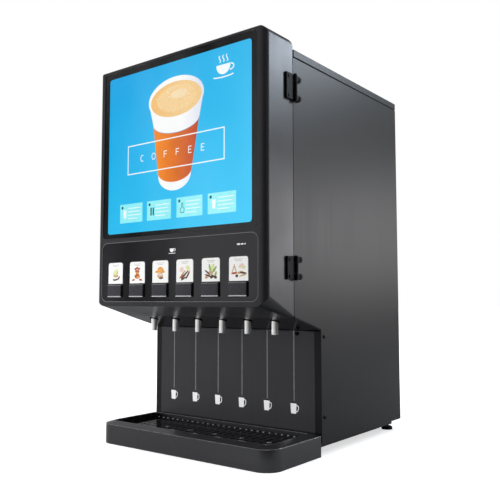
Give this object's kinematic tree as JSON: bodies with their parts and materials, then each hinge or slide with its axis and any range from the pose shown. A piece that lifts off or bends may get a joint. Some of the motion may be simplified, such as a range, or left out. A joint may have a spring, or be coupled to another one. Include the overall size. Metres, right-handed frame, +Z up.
{
  "type": "hot coffee vending machine",
  "caption": "Countertop hot powder-drink dispenser: lit picture door, row of push buttons under flavour cards, nozzles over a splash panel and a drip tray with a grate.",
  "frame": {"origin": "on the counter, under the middle of the machine", "axes": "+Z up, -Y out of the front towards the customer, +X to the customer's right"},
  "size_m": [0.518, 0.618, 0.886],
  "materials": {
    "cabinet_sheet": "dark grey satin powder coat with a fine texture",
    "lid_sheet": "dark grey satin powder coat",
    "inner_sheet": "plain galvanised steel sheet",
    "underside_gloss": "glossy black moulding",
    "splash_sheet": "dark grey satin coat",
    "rubber_black": "matt black rubber",
    "screw_steel": "black oxide screws",
    "canister_clear": "smoky clear moulded plastic",
    "canister_lid": "black moulded plastic",
    "motor_dark": "dark painted motor housing",
    "bowl_plastic": "dark moulded plastic",
    "nozzle_white": "white moulded plastic",
    "auger_plastic": "off-white moulded plastic",
    "whipper_plastic": "orange moulded plastic",
    "tank_steel": "brushed stainless steel",
    "heater_sheath": "heat-tinted steel sheath",
    "valve_plastic": "white moulded valve body",
    "silicone_tube": "translucent silicone",
    "brass": "machined brass",
    "circuit_board": "green circuit board with components",
    "psu_metal": "perforated aluminium case",
    "inlet_black": "black moulded plastic",
    "hinge_black": "black coated steel",
    "hinge_pin": "steel pin",
    "door_plastic": "dark grey satin moulding",
    "door_liner": "white inner cover",
    "glass_front": "clear glass with a black printed border",
    "picture_sheet": "blue printed translucent sheet",
    "led_board": "white LED boards",
    "panel_gloss": "glossy black control panel",
    "card_white": "white printed cards",
    "button_grey": "dark grey moulded buttons",
    "lock_steel": "plated lock",
    "tray_plastic": "dark grey moulded tray",
    "grate_gloss": "glossy black moulded grate"
  },
  "bodies": {
    "cabinet": {"base_pan": "cabinet_sheet", "left_side_panel": "cabinet_sheet", "right_side_panel": "cabinet_sheet", "back_panel": "cabinet_sheet", "top_lid": "lid_sheet", "lid_seal": "rubber_black", "bay_divider": "inner_sheet", "hopper_shelf": "inner_sheet", "underside_panel": "underside_gloss", "splash_panel": "splash_sheet", "levelling_feet": "rubber_black", "panel_screws": "screw_steel", "hopper_canisters": "canister_clear", "hopper_lids": "canister_lid", "auger_motors": "motor_dark", "mixing_bowls": "bowl_plastic", "whipper_motors": "motor_dark", "outlet_nozzles": "nozzle_white", "water_tank": "tank_steel", "tank_lid": "tank_steel", "heating_element": "heater_sheath", "dispense_valves": "valve_plastic", "water_tubes": "silicone_tube", "water_inlet_valve": "brass", "control_board": "circuit_board", "power_supply": "psu_metal", "mains_inlet": "inlet_black", "cabinet_hinge_leaves": "hinge_black", "hinge_pins": "hinge_pin"},
    "door": {"door_shell": "door_plastic", "door_back_cover": "door_liner", "lightbox_glass": "glass_front", "lightbox_sheet": "picture_sheet", "led_strips": "led_board", "control_panel": "panel_gloss", "flavour_cards": "card_white", "switch_board": "circuit_board", "door_hinge_leaves": "hinge_black", "lock_barrel": "lock_steel"},
    "lock_plug": {"lock_plug": "lock_steel"},
    "drip_tray": {"drip_tray": "tray_plastic"},
    "drip_grate": {"drip_grate": "grate_gloss"},
    "button_1": {"button_1": "button_grey"},
    "auger_1": {"auger_1": "auger_plastic"},
    "whipper_1": {"whipper_1": "whipper_plastic"},
    "button_2": {"button_2": "button_grey"},
    "auger_2": {"auger_2": "auger_plastic"},
    "whipper_2": {"whipper_2": "whipper_plastic"},
    "button_3": {"button_3": "button_grey"},
    "auger_3": {"auger_3": "auger_plastic"},
    "whipper_3": {"whipper_3": "whipper_plastic"},
    "button_4": {"button_4": "button_grey"},
    "auger_4": {"auger_4": "auger_plastic"},
    "whipper_4": {"whipper_4": "whipper_plastic"},
    "button_5": {"button_5": "button_grey"},
    "auger_5": {"auger_5": "auger_plastic"},
    "whipper_5": {"whipper_5": "whipper_plastic"},
    "button_6": {"button_6": "button_grey"},
    "auger_6": {"auger_6": "auger_plastic"},
    "whipper_6": {"whipper_6": "whipper_plastic"}
  },
  "joints": [
    {"name": "door_hinge", "type": "hinge", "parent": "cabinet", "child": "door", "pos_m": [0.2565, -0.205, 0.59], "axis": [0, 0, 1], "range_deg": [0, 105]},
    {"name": "lock_turn", "type": "hinge", "parent": "door", "child": "lock_plug", "pos_m": [-0.251, -0.228, 0.59], "axis": [1, 0, 0], "range_deg": [0, 90]},
    {"name": "tray_pull", "type": "slide", "parent": "cabinet", "child": "drip_tray", "axis": [0, -1, 0], "range_m": [0, 0.2]},
    {"name": "grate_lift", "type": "slide", "parent": "drip_tray", "child": "drip_grate", "axis": [0, 0, 1], "range_m": [0, 0.04]},
    {"name": "button_1_press", "type": "slide", "parent": "door", "child": "button_1", "axis": [0, 1, 0], "range_m": [0, 0.004], "stiffness_N_per_m": 300, "springref_m": -0.002},
    {"name": "button_2_press", "type": "slide", "parent": "door", "child": "button_2", "axis": [0, 1, 0], "range_m": [0, 0.004], "stiffness_N_per_m": 300, "springref_m": -0.002},
    {"name": "button_3_press", "type": "slide", "parent": "door", "child": "button_3", "axis": [0, 1, 0], "range_m": [0, 0.004], "stiffness_N_per_m": 300, "springref_m": -0.002},
    {"name": "button_4_press", "type": "slide", "parent": "door", "child": "button_4", "axis": [0, 1, 0], "range_m": [0, 0.004], "stiffness_N_per_m": 300, "springref_m": -0.002},
    {"name": "button_5_press", "type": "slide", "parent": "door", "child": "button_5", "axis": [0, 1, 0], "range_m": [0, 0.004], "stiffness_N_per_m": 300, "springref_m": -0.002},
    {"name": "button_6_press", "type": "slide", "parent": "door", "child": "button_6", "axis": [0, 1, 0], "range_m": [0, 0.004], "stiffness_N_per_m": 300, "springref_m": -0.002},
    {"name": "auger_1_turn", "type": "hinge", "parent": "cabinet", "child": "auger_1", "pos_m": [-0.18675, -0.101, 0.455], "axis": [0, 1, 0], "continuous": true},
    {"name": "auger_2_turn", "type": "hinge", "parent": "cabinet", "child": "auger_2", "pos_m": [-0.11325, -0.101, 0.455], "axis": [0, 1, 0], "continuous": true},
    {"name": "auger_3_turn", "type": "hinge", "parent": "cabinet", "child": "auger_3", "pos_m": [-0.03975, -0.101, 0.455], "axis": [0, 1, 0], "continuous": true},
    {"name": "auger_4_turn", "type": "hinge", "parent": "cabinet", "child": "auger_4", "pos_m": [0.03375, -0.101, 0.455], "axis": [0, 1, 0], "continuous": true},
    {"name": "auger_5_turn", "type": "hinge", "parent": "cabinet", "child": "auger_5", "pos_m": [0.10725, -0.101, 0.455], "axis": [0, 1, 0], "continuous": true},
    {"name": "auger_6_turn", "type": "hinge", "parent": "cabinet", "child": "auger_6", "pos_m": [0.18075, -0.101, 0.455], "axis": [0, 1, 0], "continuous": true},
    {"name": "whipper_1_turn", "type": "hinge", "parent": "cabinet", "child": "whipper_1", "pos_m": [-0.18675, -0.175, 0.33], "axis": [0, 1, 0], "continuous": true},
    {"name": "whipper_2_turn", "type": "hinge", "parent": "cabinet", "child": "whipper_2", "pos_m": [-0.11325, -0.175, 0.33], "axis": [0, 1, 0], "continuous": true},
    {"name": "whipper_3_turn", "type": "hinge", "parent": "cabinet", "child": "whipper_3", "pos_m": [-0.03975, -0.175, 0.33], "axis": [0, 1, 0], "continuous": true},
    {"name": "whipper_4_turn", "type": "hinge", "parent": "cabinet", "child": "whipper_4", "pos_m": [0.03375, -0.175, 0.33], "axis": [0, 1, 0], "continuous": true},
    {"name": "whipper_5_turn", "type": "hinge", "parent": "cabinet", "child": "whipper_5", "pos_m": [0.10725, -0.175, 0.33], "axis": [0, 1, 0], "continuous": true},
    {"name": "whipper_6_turn", "type": "hinge", "parent": "cabinet", "child": "whipper_6", "pos_m": [0.18075, -0.175, 0.33], "axis": [0, 1, 0], "continuous": true}
  ]
}
